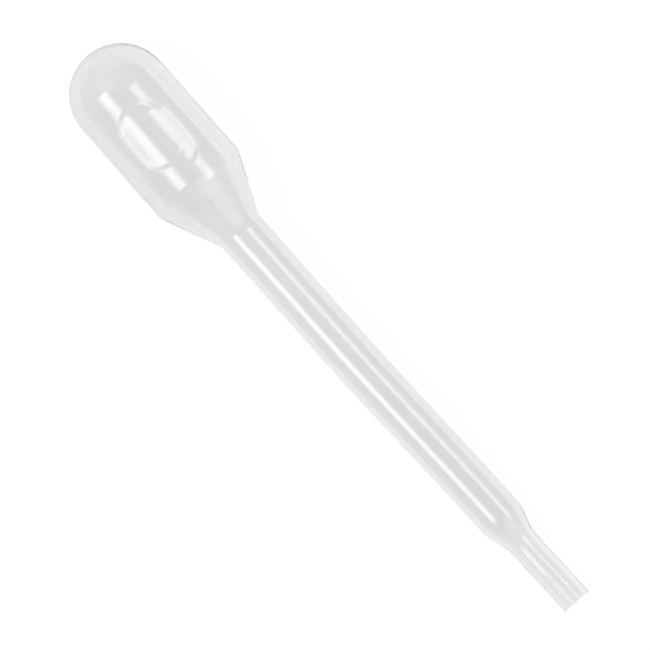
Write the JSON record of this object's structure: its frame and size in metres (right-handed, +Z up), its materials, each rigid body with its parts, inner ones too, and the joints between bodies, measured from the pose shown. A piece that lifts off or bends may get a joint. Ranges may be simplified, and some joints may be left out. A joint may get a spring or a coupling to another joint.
{
  "type": "dropper pipette",
  "caption": "Soft translucent plastic dropper pipette blown in one piece: round-ended squeeze bulb with thumb pads, conical shoulder, slim hollow stem and narrower open tip.",
  "frame": {"origin": "under the middle of the pipette's box, on the surface that it lies on", "axes": "+X along the pipette from the bulb towards the tip, level with that surface; +Z up through the front thumb pad. The pipette's own axis dips towards the tip by 3.5 degrees, as it does when it lies at rest."},
  "size_m": [0.0878, 0.0124, 0.0133],
  "materials": {
    "ldpe": "blown low-density polyethylene, colourless, translucent, softly glossy"
  },
  "bodies": {
    "root": {"pipette": "ldpe"}
  },
  "joints": []
}
